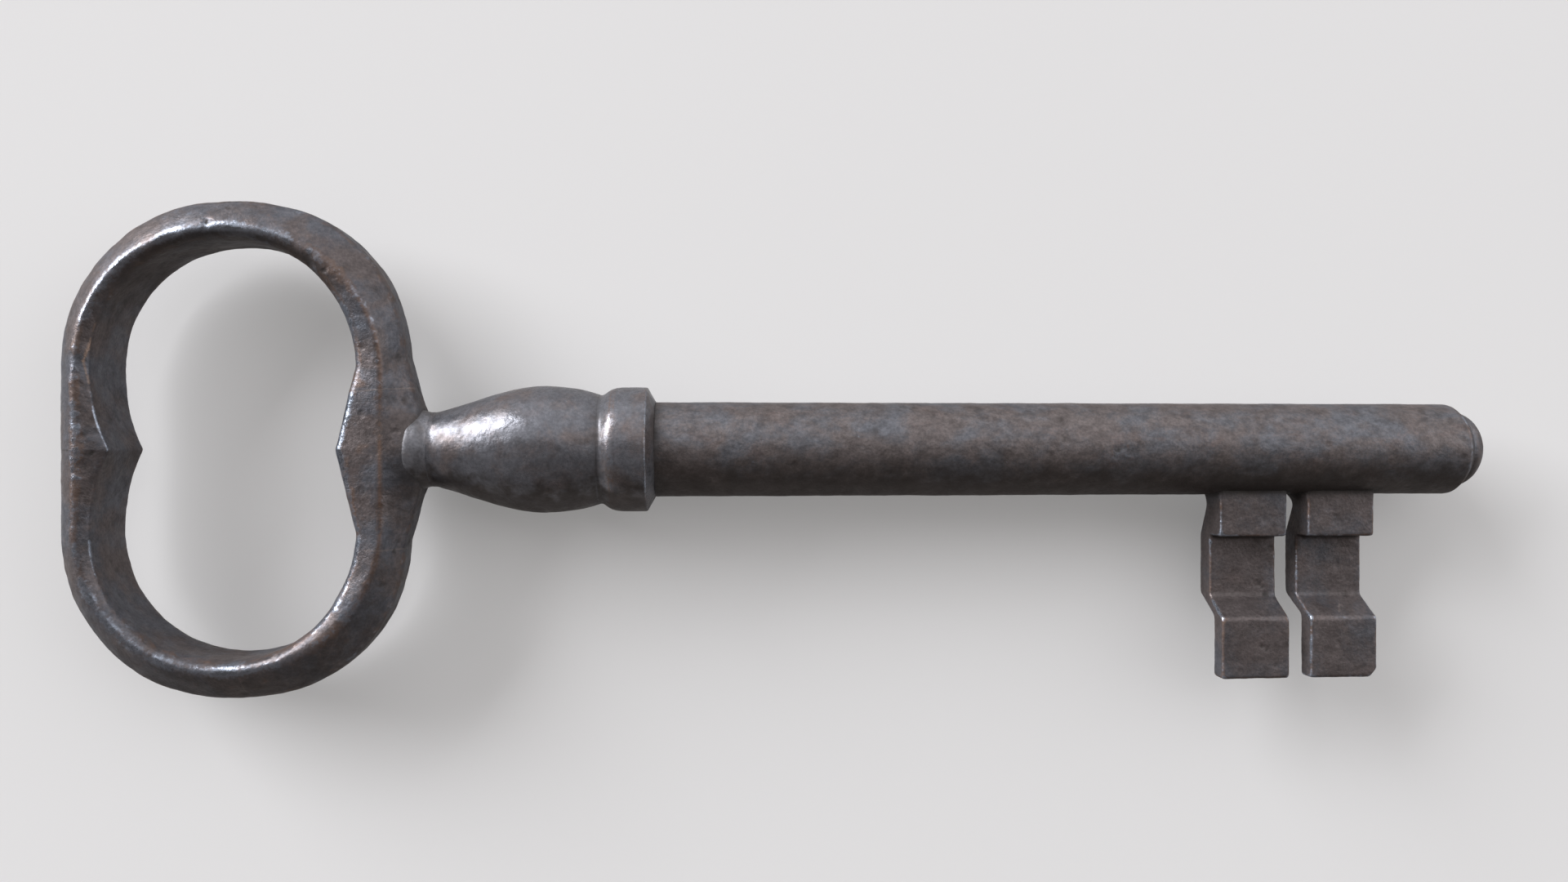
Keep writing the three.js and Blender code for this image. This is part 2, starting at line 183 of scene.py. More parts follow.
# Dents as (x, y, height, radius, depth) in millimetres. The height is over the key's axis or, on the shank,
# over the front of the bar.
SHANK_DENTS = [
    (31.2, -0.1, 0.0, 0.6, 0.12),
    (32.6, -0.2, 0.0, 0.7, 0.08),
    (25.6, 0.9, 0.0, 0.6, 0.09),
    (46.5, -1.6, -0.3, 1.1, 0.1),
    (9.0, -2.4, -0.6, 0.9, 0.1),
]
BOW_DENTS = [
    (-68.5, -1.6, 3.6, 0.8, 0.17),
    (-57.2, 21.7, 3.8, 0.38, 0.22),
    (-69.0, 8.6, 3.6, 0.6, 0.08),
    (-48.0, 17.8, 3.4, 0.8, 0.1),
    (-39.9, -9.9, 2.6, 0.5, 0.09),
]
INNER_DENTS = [
    (48.4, -14.3, -0.33, 0.4, 0.1),
    (48.8, -14.6, -0.33, 0.3, 0.1),
    (49.1, -15.5, -0.33, 0.5, 0.09),
    (47.2, -20.45, 2.5, 0.32, 0.09),
    (47.7, -20.7, 2.5, 0.28, 0.09),
    (48.6, -22.4, 2.5, 0.3, 0.07),
    (47.9, -7.2, 2.0, 0.5, 0.1),
]
OUTER_DENTS = [
    (56.2, -16.6, 1.2, 0.5, 0.08),
    (55.6, -7.4, 2.0, 0.6, 0.1),
    (57.0, -12.4, -0.33, 0.5, 0.05),
]
DENT_RAGGEDNESS = 0.8
DENT_RAG_SIZE = 0.7  # as a share of the dent's radius
DENT_STEEPNESS = 1.6

# Parts worn bright, partly real wear and partly painted highlight, or rusty along a crest
LIP_WIDTH = 0.16 * MM  # of the worn lines, partly painted highlight, where the nose's dome and the collar's chamfer start
LIP_STRENGTH = 0.55
LIP_LOWEST = -1.6 * MM
COLLAR_EDGE_STRENGTH = 0.85
COLLAR_EDGE_LOWEST = -2.0 * MM
BAR_SPECKS = [(-5.4, -1.2), (19.7, -1.25), (5.0, 1.3), (5.1, 1.9), (26.0, 2.0)]  # in millimetres
SPECK_WIDTH = 0.22 * MM
CREST_WIDTH = 0.22 * MM
NECK_RIDGE_FROM = 0.35 * BOW_HALF_WIDTH
POLISH_WIDTH = 0.95 * MM
POLISH_FROM = 8.5 * MM
POLISH_TO = 13.0 * MM
RUBBED_AND_HIGHLIT_EDGES = ((-0.1 * MM, 5.5 * MM), (-15.0 * MM, -8.5 * MM))  # heights on the far wall of the eye
EDGE_WIDTH = 0.24 * MM
RIM_STRENGTH = 0.8
RUBBED_AND_HIGHLIT_SPOT = (-43.1 * MM, 11.8 * MM, AXIS_Z + 3.6 * MM)
SPOT_WIDTH = 1.9 * MM
SPOT_STRENGTH = 0.6

# Soiling and painted shade where two pieces meet, as (piece, piece, strength, reach)
SEAMS = [
    ("shank", "inner_bit_leaf", 1.0, 0.5 * MM),
    ("shank", "outer_bit_leaf", 1.0, 0.5 * MM),
    ("shank", "collar", 0.6, 1.0 * MM),
    ("collar", "baluster", 0.5, 0.8 * MM),
    ("baluster", "neck_bead", 0.2, 0.4 * MM),
    ("neck_bead", "bow", 0.5, 0.45 * MM),
]
SEAM_SEARCH = 3  # times the reach
JOINT_WIDTH = 0.4 * MM
JOINT_HIDES_WEAR = 1.8
# Painted shade: how steeply the side facing -Y darkens with its normal, and where it starts
SHADE_SLOPE = 1.4
SHADE_START = 0.1

# Each piece with its iron, its slot, the rounds of smoothing that tell what stands out of it, and the height
# at which that is fully worn
DRESS = {
    "shank": ("bar", "bar_iron", 10, 0.06 * MM),
    "collar": ("turned", "turned_iron", 10, 0.05 * MM),
    "baluster": ("turned", "turned_iron", 10, 0.06 * MM),
    "neck_bead": ("bead", "turned_iron", 10, 0.06 * MM),
    "bow": ("forged", "forged_iron", 10, 0.05 * MM),
    "inner_bit_leaf": ("filed", "bit_iron", 14, 0.08 * MM),
    "outer_bit_leaf": ("filed", "bit_iron", 14, 0.08 * MM),
}


def lerp(a, b, share):
    return a + (b - a) * share


# Meshes

def eased(points, radius, steps=4, closed=False):
    """Rounds the corners of a line of points; radius may be one number or one for each point."""
    points = [np.array(p, float) for p in points]
    count = len(points)
    radii = radius if hasattr(radius, "__len__") else [radius] * count
    line = []
    for i, corner in enumerate(points):
        if radii[i] <= 0 or (not closed and i in (0, count - 1)):
            line.append(corner)
            continue
        back = points[i - 1] - corner
        ahead = points[(i + 1) % count] - corner
        start = corner + back * min(radii[i] / np.linalg.norm(back), EASE_LIMIT)
        end = corner + ahead * min(radii[i] / np.linalg.norm(ahead), EASE_LIMIT)
        for k in range(steps + 1):
            t = k / steps
            line.append((1 - t) ** 2 * start + 2 * t * (1 - t) * corner + t ** 2 * end)
    return np.array(line)


def stepped(line, step, closed=False):
    """Puts extra points on a line so that no stretch is longer than step."""
    ends = list(line) + ([line[0]] if closed else [])
    fine = []
    for a, b in zip(ends[:-1], ends[1:]):
        parts = max(1, math.ceil(np.linalg.norm(b - a) / step))
        fine.extend(lerp(a, b, k / parts) for k in range(parts))
    if not closed:
        fine.append(ends[-1])
    return np.array(fine)


def bezier(start, start_pull, end_pull, end, steps=24):
    points = []
    for k in range(steps + 1):
        t = k / steps
        weights = ((1 - t) ** 3, 3 * t * (1 - t) ** 2, 3 * t ** 2 * (1 - t), t ** 3)
        points.append(sum(w * np.array(p) for w, p in zip(weights, (start, start_pull, end_pull, end))))
    return points


def object_from(name, vertices, faces):
    mesh = bpy.data.meshes.new(name)
    mesh.from_pydata([tuple(v) for v in vertices], [], faces)
    mesh.validate()
    mesh.update()
    obj = bpy.data.objects.new(name, mesh)
    bpy.context.scene.collection.objects.link(obj)
    return obj


def skin(name, grid, wrap_rows):
    """A closed skin over rows of points. Each row runs round; the rows join end to end where they wrap."""
    rows, around = grid.shape[:2]
    faces = []
    for i in range(rows if wrap_rows else rows - 1):
        ahead = (i + 1) % rows
        for k in range(around):
            beside = (k + 1) % around
            faces.append((i * around + k, i * around + beside, ahead * around + beside, ahead * around + k))
    obj = object_from(name, grid.reshape(-1, 3), faces)
    tidy = bmesh.new()
    tidy.from_mesh(obj.data)
    bmesh.ops.remove_doubles(tidy, verts=tidy.verts, dist=MERGE_DISTANCE)
    bmesh.ops.recalc_face_normals(tidy, faces=tidy.faces)
    tidy.to_mesh(obj.data)
    tidy.free()
    return obj


def turned(name, profile, closed):
    """Turns a line of [x, radius] round the axis of the shank."""
    widest = max(r for _, r in profile)
    around = 8 * math.ceil(2 * math.pi * widest / SKIN_STEP / 8)
    angles = np.linspace(0, 2 * math.pi, around, endpoint=False)
    fine = stepped(profile, SKIN_STEP, closed)
    grid = np.zeros((len(fine), around, 3))
    grid[:, :, 0] = fine[:, 0, None]
    grid[:, :, 1] = fine[:, 1, None] * np.cos(angles)
    grid[:, :, 2] = AXIS_Z + fine[:, 1, None] * np.sin(angles)
    return skin(name, grid, closed)


def vertex_data(mesh):
    places = np.zeros(len(mesh.vertices) * 3)
    mesh.vertices.foreach_get("co", places)
    normals = np.zeros(len(mesh.vertices) * 3)
    mesh.vertex_normals.foreach_get("vector", normals)
    return places.reshape(-1, 3), normals.reshape(-1, 3)


def place_vertices(mesh, places):
    mesh.vertices.foreach_set("co", places.ravel())
    mesh.update()


def smoothed(mesh, places, rounds):
    """Places drawn towards the middle of their neighbours, the given number of times."""
    edges = np.zeros(len(mesh.edges) * 2, int)
    mesh.edges.foreach_get("vertices", edges)
    ends = np.concatenate([edges.reshape(-1, 2), edges.reshape(-1, 2)[:, ::-1]])
    count = len(places)
    neighbours = np.maximum(np.bincount(ends[:, 0], minlength=count), 1)[:, None]
    for _ in range(rounds):
        total = [np.bincount(ends[:, 0], places[ends[:, 1], axis], count) for axis in range(3)]
        places = 0.5 * places + 0.5 * np.stack(total, 1) / neighbours
    return places


def unevenness(places, size, seed):
    """Soft noise from about -1 to 1 over the surface, with lumps of the given size."""
    shift = Vector((17.3, 5.1, 9.7)) * seed
    return np.array([noise.noise(Vector(p) / size + shift) for p in places])


def dents_on(level, dents):
    """Places, radii and depths of dents whose heights are given over a level."""
    return [((x * MM, y * MM, level + z * MM), radius * MM, depth * MM) for x, y, z, radius, depth in dents]


def forge(obj, lumps, dents=()):
    """Gives a piece lumps of (depth, size, seed) and single dents of (place, radius, depth)."""
    depth, size, seed = lumps
    places, normals = vertex_data(obj.data)
    lift = depth * sum(
        share * unevenness(places, size * part, seed + i) for i, (share, part) in enumerate(LUMP_OCTAVES)
    )
    for centre, radius, sink in dents:
        away = np.linalg.norm(places - np.array(centre), axis=1) / radius
        rag = unevenness(places, radius * DENT_RAG_SIZE, seed + len(LUMP_OCTAVES))
        ragged = away * (1 + DENT_RAGGEDNESS * rag)
        lift -= sink * np.exp(-(ragged ** 2) * DENT_STEEPNESS)
    place_vertices(obj.data, places + normals * lift[:, None])


def nearness(places, line, width):
    """One on a line and falling off to nothing beyond its width."""
    tree = KDTree(len(line))
    for i, point in enumerate(line):
        tree.insert(point, i)
    tree.balance()
    away = np.array([tree.find(p)[2] for p in places])
    return np.exp(-((away / width) ** 2))


def keep_values(mesh, name, values):
    attribute = mesh.attributes.get(name) or mesh.attributes.new(name, "FLOAT", "POINT")
    attribute.data.foreach_set("value", np.asarray(values, np.float32))


def mark_edges(obj, rounds, full):
    """Notes how far each point stands out of its surroundings, as worn, or lies in them, as sunk.

    Also notes how much each point faces -Y, the side that is darkened as painted shade.
    """
    places, normals = vertex_data(obj.data)
    stand = np.einsum("ij,ij->i", normals, places - smoothed(obj.data, places, rounds))
    joint = np.zeros(len(places))
    obj.data.attributes["joint"].data.foreach_get("value", joint)
    keep_values(obj.data, "worn", np.clip(stand / full, 0, 1) * np.clip(1 - JOINT_HIDES_WEAR * joint, 0, 1))
    keep_values(obj.data, "sunk", np.clip(-stand / full, 0, 1))
    # Painted shade: the more a point faces -Y, the darker its colour
    keep_values(obj.data, "shaded_side", np.clip(-SHADE_SLOPE * normals[:, 1] - SHADE_START, 0, 1))


def mark_seams(pairs):
    """Notes as joint how near each point lies to the piece next to it, and as seam how much soiling and
    painted shade that gives it.

    Each pair is (piece, piece, strength of the soiling and painted shade, how far it reaches).
    """
    trees = {}
    seams = {}
    joints = {}
    for obj in {o for pair in pairs for o in pair[:2]}:
        mesh = obj.data
        corners = [v.co for v in mesh.vertices]
        trees[obj] = BVHTree.FromPolygons(corners, [p.vertices[:] for p in mesh.polygons])
        seams[obj] = np.zeros(len(mesh.vertices))
        joints[obj] = np.zeros(len(mesh.vertices))
    for first, second, seam_strength, reach in pairs:
        for obj, other in ((first, second), (second, first)):
            for i, vertex in enumerate(obj.data.vertices):
                distance = trees[other].find_nearest(vertex.co, reach * SEAM_SEARCH)[3]
                if distance is not None:
                    seams[obj][i] = max(seams[obj][i], seam_strength * math.exp(-distance / reach))
                    joints[obj][i] = max(joints[obj][i], math.exp(-distance / JOINT_WIDTH))
    for obj in trees:
        keep_values(obj.data, "seam", seams[obj])
        keep_values(obj.data, "joint", joints[obj])


def finish_piece(obj, material, node):
    for face in obj.data.polygons:
        face.use_smooth = True
    obj.data.set_sharp_from_angle(angle=SHARP_ANGLE)
    obj.data.materials.append(material)
    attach(obj, "root")
    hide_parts(node)


# Pieces of the key

def make_shank():
    dome_start = shank_high.x - NOSE_DOME_LENGTH
    dome_radius = BAR_RADIUS - NOSE_CHAMFER_DEPTH
    corners = [
        (shank_low.x, 0),
        (shank_low.x, TANG_RADIUS),
        (SHOULDER_X, TANG_RADIUS),
        (SHOULDER_X, BAR_RADIUS),
        (dome_start - NOSE_CHAMFER_LENGTH, BAR_RADIUS),
        (dome_start, dome_radius),
    ]
    ease = [0, TANG_ROUND, 0, 0, NOSE_CHAMFER_ROUND, NOSE_DOME_ROUND]
    dome = []
    for k in range(1, NOSE_DOME_PARTS + 1):
        turn = k / NOSE_DOME_PARTS * math.pi / 2
        dome.append((dome_start + NOSE_DOME_LENGTH * math.sin(turn), dome_radius * math.cos(turn)))
    dome[-1] = (shank_high.x, 0)
    line = eased(corners + dome[:1], ease + [0])
    obj = turned("shank", np.vstack([line, dome[1:]]), False)
    forge(obj, SHANK_LUMPS, dents_on(AXIS_Z + BAR_RADIUS, SHANK_DENTS))
    places = vertex_data(obj.data)[0]
    # Worn line at the dome and specks, lighter; the line not on the side facing -Y, partly painted highlight
    lip = np.exp(-(((places[:, 0] - dome_start) / LIP_WIDTH) ** 2))
    lip = LIP_STRENGTH * lip * (places[:, 1] > LIP_LOWEST)
    specks = nearness(places * (1, 1, 0), [(x * MM, y * MM, 0) for x, y in BAR_SPECKS], SPECK_WIDTH)
    keep_values(obj.data, "rubbed_and_highlight", np.maximum(lip, specks * (places[:, 2] > AXIS_Z)))
    return obj


def make_collar():
    corners = [
        (collar_low.x, BORE_RADIUS),
        (collar_low.x, NOTCH_RADIUS),
        (collar_low.x + NOTCH_LENGTH, NOTCH_RADIUS - NOTCH_FALL),
        (collar_low.x + COLLAR_TAPER_LENGTH, COLLAR_RADIUS),
        (SHOULDER_X - COLLAR_CHAMFER_LENGTH, COLLAR_RADIUS),
        (SHOULDER_X, BAR_RADIUS),
        (SHOULDER_X, BORE_RADIUS),
    ]
    ease = [0, 0, NOTCH_ROUND, COLLAR_TOP_ROUND, COLLAR_CHAMFER_ROUND, 0, 0]
    obj = turned("collar", eased(corners, ease, closed=True), True)
    places = vertex_data(obj.data)[0]
    # Worn line at the chamfer's edge, lighter and not on the side facing -Y, partly painted highlight
    edge = np.exp(-(((places[:, 0] - SHOULDER_X + COLLAR_CHAMFER_LENGTH) / LIP_WIDTH) ** 2))
    keep_values(obj.data, "rubbed_and_highlight", COLLAR_EDGE_STRENGTH * edge * (places[:, 1] > COLLAR_EDGE_LOWEST))
    forge(obj, COLLAR_LUMPS)
    return obj


def make_baluster():
    belly_x = collar_low.x - BELLY_FROM_COLLAR
    groove_end = (baluster_low.x + GROOVE_LENGTH, GROOVE_RADIUS + NECK_SLOPE * GROOVE_LENGTH / 2)
    groove_bend = (baluster_low.x + GROOVE_LENGTH / 2, GROOVE_RADIUS)
    groove = bezier((baluster_low.x, GROOVE_RADIUS), groove_bend, groove_bend, groove_end, 10)
    neck = bezier(
        groove_end,
        (baluster_low.x + NECK_STRAIGHT, GROOVE_RADIUS + NECK_SLOPE * NECK_STRAIGHT),
        (belly_x - BELLY_LEVEL_BACK, BALUSTER_RADIUS),
        (belly_x, BALUSTER_RADIUS),
    )
    belly = bezier(
        (belly_x, BALUSTER_RADIUS),
        (belly_x + BELLY_LEVEL_FRONT, BALUSTER_RADIUS),
        (collar_low.x - BELLY_FALL, (BALUSTER_RADIUS + NOTCH_RADIUS) / 2),
        (collar_low.x, NOTCH_RADIUS),
    )
    bore = [np.array((collar_low.x, BORE_RADIUS)), np.array((baluster_low.x, BORE_RADIUS))]
    obj = turned("baluster", np.array(groove + neck[1:] + belly[1:] + bore), True)
    forge(obj, BALUSTER_LUMPS)
    return obj


def make_neck_bead():
    back = bead_low.x - BEAD_IN_BOW
    corners = [
        (back, BORE_RADIUS),
        (back, BEAD_RADIUS - BEAD_BACK_DROP),
        (bead_low.x + BEAD_BACK_LENGTH, BEAD_RADIUS),
        (bead_low.x + BEAD_LEVEL_TO, BEAD_RADIUS),
    ]
    middle = (bead_low.x + BEAD_LEVEL_TO + bead_high.x) / 2
    fall = bezier(corners[-1], (middle, BEAD_RADIUS), (middle, GROOVE_RADIUS), (bead_high.x, GROOVE_RADIUS))
    line = eased(corners, [0, BEAD_BACK_ROUND, BEAD_TOP_ROUND, 0])
    obj = turned("neck_bead", np.vstack([line, fall[1:], [(bead_high.x, BORE_RADIUS)]]), True)
    forge(obj, BEAD_LUMPS)
    return obj


def tip(shape, distance):
    """Height of a cusp or shoulder of (height, reach, hollowness) at a distance from its softened tip."""
    height, reach, hollowness = shape
    away = math.hypot(distance, TIP_SOFTNESS) - TIP_SOFTNESS
    return height * max(0.0, 1 - away / reach) ** hollowness


def swelling(height, reach, distance):
    """Height of a round swelling at a distance from its middle."""
    return height * (1 - min(1.0, abs(distance) / reach) ** 2) ** 2


def ring_point(far, near, height, neck_squareness, along):
    """A point of a line round the ring, given by how far the line lies from the ring's middle."""
    across, straight, up = along
    reach, squareness = (near, neck_squareness) if across > 0 else (far, CAP_SQUARENESS_FAR)
    x = reach * math.copysign(abs(across) ** (2 / squareness), across)
    rise = math.copysign(abs(up) ** (2 / squareness), up)
    return np.array((x, straight * BOW_HALF_STRAIGHT + rise * (height - BOW_HALF_STRAIGHT)))


def ridge_point(along):
    """The crest of the ring's ridge."""
    return ring_point(
        BOW_HALF_WIDTH - WALL_FAR + RIDGE_IN_FAR,
        BOW_HALF_WIDTH - WALL_NECK + RIDGE_IN_NECK,
        BOW_HALF_HEIGHT - WALL_SIDE + RIDGE_IN_SIDE,
        INNER_SQUARENESS_NECK,
        along,
    )


def ring_stations():
    """Places round the ring as (across, straight, up), anticlockwise from the foot of the neck wall.

    They lie closer together at the cusps, in the middle of the straight walls.
    """
    on_straight = 2 * math.ceil(STRAIGHT_DENSITY * BOW_HALF_STRAIGHT / SKIN_STEP)
    on_round = math.ceil(math.pi * BOW_HALF_WIDTH / SKIN_STEP / ROUND_SPACING)
    stations = []
    for side in (1, -1):
        for i in range(on_straight):
            along = -1 + 2 * i / on_straight
            stations.append((side, side * math.copysign(abs(along) ** CUSP_CROWDING, along), 0))
        for i in range(on_round):
            turn = i / on_round * math.pi
            stations.append((side * math.cos(turn), side, side * math.sin(turn)))
    return stations


def eye_point(along):
    """The wall of the eye, with its cusps."""
    point = ring_point(
        BOW_HALF_WIDTH - WALL_FAR,
        BOW_HALF_WIDTH - WALL_NECK,
        BOW_HALF_HEIGHT - WALL_SIDE,
        INNER_SQUARENESS_NECK,
        along,
    )
    point[0] += -tip(NECK_CUSP, point[1]) if along[0] > 0 else tip(FAR_CUSP, point[1])
    return point


def rim_point(along):
    """The outside of the ring, with the shoulders at its neck."""
    point = ring_point(BOW_HALF_WIDTH, BOW_HALF_WIDTH, BOW_HALF_HEIGHT, CAP_SQUARENESS_NECK, along)
    if along[0] > 0:
        point[0] += tip(SHOULDER, point[1])
    return point


def ring_section(along):
    eye = eye_point(along)
    ridge = ridge_point(along)
    rim = rim_point(along)
    rim_depth = RIM_HALF_DEPTH
    if along[0] > 0:
        rim_depth += swelling(BOSS_HALF_DEPTH, BOSS_REACH, rim[1])
    neckness = max(0.0, along[0]) ** 2
    eye_round = lerp(EYE_ROUND, EYE_ROUND_NECK, neckness) + (EYE_ROUND_END - EYE_ROUND) * along[2] ** 2
    ridge_round = lerp(RIDGE_ROUND, RIDGE_ROUND_NECK, neckness)
    ridge_depth = RIDGE_HALF_DEPTH + lerp(RIDGE_LIFT, 0, neckness)
    slope = lerp(ridge, rim, SWELL_PLACE)
    slope_depth = lerp(ridge_depth, rim_depth, SWELL_PLACE) + lerp(SWELL, 0, neckness)
    front = [(*eye, EYE_HALF_DEPTH), (*ridge, ridge_depth), (*slope, slope_depth), (*rim, rim_depth)]
    rounds = [eye_round, ridge_round, SWELL_ROUND, RIM_ROUND]
    back = [(x, y, -z) for x, y, z in reversed(front)]
    return eased(front + back, rounds + rounds[::-1], CORNER_STEPS, True)


STATIONS = ring_stations()


def make_bow():
    rows = []
    for along in STATIONS:
        section = ring_section(along)
        fine = []
        start = 0
        for parts in PARTS_OF_SIDES:
            corner = section[start:start + CORNER_STEPS + 1]
            start += CORNER_STEPS + 1
            fine.extend(corner[:-1])
            after = section[start % len(section)]
            fine.extend(lerp(corner[-1], after, k / parts) for k in range(parts))
        rows.append(fine)
    grid = np.array(rows)
    grid[:, :, 0] += BOW_X
    grid[:, :, 2] += AXIS_Z
    obj = skin("bow", grid, True)
    places = smoothed(obj.data, vertex_data(obj.data)[0], 1)
    place_vertices(obj.data, places)
    mark_ridge(obj)
    forge(obj, BOW_LUMPS, dents_on(AXIS_Z, BOW_DENTS))
    return obj


def mark_ridge(obj):
    """Notes as crest the rusty ridge of the neck wall, and marks lighter the parts that hands have worn
    bright, partly painted highlight: ridge ends, eye edges, upper rim edge and a spot.
    """
    places = vertex_data(obj.data)[0]
    flat = places * (1, 1, 0)
    ridge = [(*ridge_point(along) + (BOW_X, 0), 0) for along in STATIONS]
    high = np.abs(places[:, 2] - AXIS_Z) > EYE_HALF_DEPTH
    at_neck = np.clip((places[:, 0] - BOW_X) / NECK_RIDGE_FROM - 1, 0, 1)
    keep_values(obj.data, "crest", nearness(flat, ridge, CREST_WIDTH) * high * at_neck)
    at_ends = np.clip((np.abs(places[:, 1]) - POLISH_FROM) / (POLISH_TO - POLISH_FROM), 0, 1)
    # Painted highlight, partly wear: a lighter band along the ridge at the round ends
    ridge_rub_and_highlight = nearness(flat, ridge, POLISH_WIDTH) * high * at_ends * (1 - at_neck)
    eye_edge = [eye_point(along) for along in STATIONS if along[0] < 0]
    eye_edge = [
        (BOW_X + x, y, AXIS_Z + EYE_HALF_DEPTH)
        for x, y in eye_edge
        if any(low < y < high for low, high in RUBBED_AND_HIGHLIT_EDGES)
    ]
    rim_edge = [rim_point(along) for along in STATIONS if along[0] > 0 and along[2] > 0]
    rim_edge = [(BOW_X + x, y, AXIS_Z + RIM_HALF_DEPTH) for x, y in rim_edge]
    # Painted highlight, partly wear: lighter eye edges, upper rim edge and a spot
    eye = nearness(places, eye_edge, EDGE_WIDTH)
    rim = RIM_STRENGTH * nearness(places, rim_edge, EDGE_WIDTH)
    spot = SPOT_STRENGTH * nearness(places, [RUBBED_AND_HIGHLIT_SPOT], SPOT_WIDTH)
    keep_values(obj.data, "rubbed_and_highlight", np.maximum.reduce([ridge_rub_and_highlight, eye, rim, spot]))


def leaf_outline():
    web_back = -WEB_SETBACK - WEB_THICKNESS
    return [
        (-ROOT_TOP, ROOT_FRONT),
        (-LEDGE, ROOT_FRONT),
        (-LEDGE, -WEB_SETBACK),
        (-STEP, -WEB_SETBACK),
        (-STEP - STEP_LENGTH, CHEEK_FRONT),
        (-BIT_REACH, CHEEK_FRONT),
        (-BIT_REACH, CHEEK_FRONT - CHEEK_THICKNESS),
        (-STEP - STEP_LENGTH, CHEEK_FRONT - CHEEK_THICKNESS),
        (-STEP, web_back),
        (-LEDGE, web_back),
        (-ROOT_FLARE_FROM, -ROOT_BACK),
        (-ROOT_TOP, -ROOT_BACK),
    ]


def settle(obj):
    """Bakes an object's modifiers into its mesh."""
    graph = bpy.context.evaluated_depsgraph_get()
    mesh = bpy.data.meshes.new_from_object(obj.evaluated_get(graph))
    obj.modifiers.clear()
    obj.data = mesh


def make_leaf(node, lumps, flare, dents, worn_corners=()):
    """One zigzag leaf, with planes of (place, direction) on which its corners are worn away."""
    low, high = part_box(node)
    line = eased(leaf_outline(), LEAF_ROUND, 3, True)
    count = len(line)
    vertices = [(x, y, AXIS_Z + z) for x in (low.x, high.x) for y, z in line]
    faces = [tuple(range(count))[::-1], tuple(range(count, 2 * count))]
    faces += [(k, (k + 1) % count, count + (k + 1) % count, count + k) for k in range(count)]
    obj = object_from(node, vertices, faces)
    bevel = obj.modifiers.new("rim", "BEVEL")
    bevel.width = LEAF_RIM_ROUND
    bevel.segments = 3
    bevel.angle_limit = LEAF_RIM_ANGLE
    remesh = obj.modifiers.new("skin", "REMESH")
    remesh.mode = "VOXEL"
    remesh.voxel_size = VOXEL
    settle(obj)
    places = smoothed(obj.data, vertex_data(obj.data)[0], LEAF_SMOOTHING)
    # The root flares behind, where it meets the bar.
    middle = (low.x + high.x) / 2
    near_bar = np.clip(1 - (-places[:, 1] - BAR_RADIUS + FLARE_INSIDE) / FLARE_HEIGHT, 0, 1) ** 2
    behind = np.clip((AXIS_Z + ROOT_FRONT - places[:, 2]) / ROOT_FRONT, 0, 1)
    side = (places[:, 0] - middle) / (high.x - middle)
    widening = np.where(side < 0, flare[0], flare[1])
    places[:, 0] += np.sign(side) * np.abs(side) ** 3 * near_bar * behind * widening
    for corner, direction in worn_corners:
        direction = np.array(direction) / np.linalg.norm(direction)
        over = np.maximum((places - np.array(corner)) @ direction, 0)
        places -= over[:, None] * direction * WORN_CORNER_SHARE
    place_vertices(obj.data, places)
    forge(obj, lumps, dents)
    return obj


# Materials

EDGE_TINT = (0.45, 0.43, 0.42, 1)
SPECULAR_LEVEL = 0.8
RELIEF_DEPTH = 0.12 * MM
FLECK_SIZE = 0.4 * MM
GRIME_BREAK_SIZE = 1.8 * MM
PIT_DARKNESS = 0.4

# Sizes of other marks, as multiples of the patch, grain or fleck size
DEEP_SIZE = 0.45
BLOOM_SIZE = 0.6
MOTTLE_SIZE = 0.2
COARSE_GRAIN_SIZE = 4.0
STRETCH_SIZE = 9.0

# How strongly the marks show
SPECKLE_SHARE = 0.12
SPECKLE_CONTRAST = 0.16
PATCH_BLUR = 0.1
DEEP_STRENGTH = 0.55
GRAIN_HEIGHT = 0.3
COARSE_HEIGHT = 0.5
PIT_DEPTH = 0.6
FLECK_SHARE = 0.4
WEAR_BREAKAGE = 3.4
BARE_FROM = -0.1
BARE_TO = 0.55
CREST_STRENGTH = 1.5
GRIME_BREAKAGE = 0.25
PAINTED_SHADE_BREAKAGE = 1.2

# What grain, worn metal with painted highlights, the painted shade of the side facing -Y, and the darkening
# of hollows and seams add to roughness or metal, or take from it
GRAIN_ROUGHNESS = 0.2
BARE_POLISH = 0.18
PAINTED_SHADE_ROUGHNESS = 0.12
GRIME_ROUGHNESS = 0.25
BARE_METAL = 0.4
GRIME_METAL = 0.5

FORGED = {
    "patch": 5.0 * MM,
    "stretch": (1, 1, 1),
    "speckle": 0.3 * MM,
    "mottle": 0.15,
    "blue": (0.09, 0.092, 0.105, 1),
    "brown": (0.098, 0.082, 0.08, 1),
    "brown_share": 0.5,
    "dark": (0.038, 0.031, 0.028, 1),
    "bloom": (0.142, 0.102, 0.092, 1),
    "bloom_share": 0.18,
    "grain": 0.28 * MM,
    "pit": 1.6 * MM,
    "pit_share": 0.25,
    "relief": 0.7,
    "metal": 0.6,
    "wear_and_highlight": 0.34,
    # Lighter bluish colour of worn metal, also used as painted highlight
    "bright": (0.35, 0.39, 0.46, 1),
    "bright_share": 0.65,
    "rust": 0.4,
    "rust_color": (0.17, 0.1, 0.065, 1),
    # How much hollows and seams darken, partly painted shade at the seams, and the colour they darken to
    "grime_and_shade": 0.85,
    "soot_and_shade": (0.02, 0.017, 0.015, 1),
    "smooth": 0.34,
    "coarse": 0.5,
    # Painted shade on the side facing -Y: how strong, and from where
    "painted_shade": 0.75,
    "painted_shade_start": 0.0,
}
TURNED = {
    **FORGED,
    "patch": 4.0 * MM,
    "mottle": 0.12,
    "blue": (0.126, 0.127, 0.14, 1),
    "brown": (0.131, 0.112, 0.11, 1),
    "brown_share": 0.45,
    "relief": 0.4,
    "smooth": 0.22,
    "coarse": 0.38,
    "painted_shade": 0.9,
    "painted_shade_start": 0.35,
}
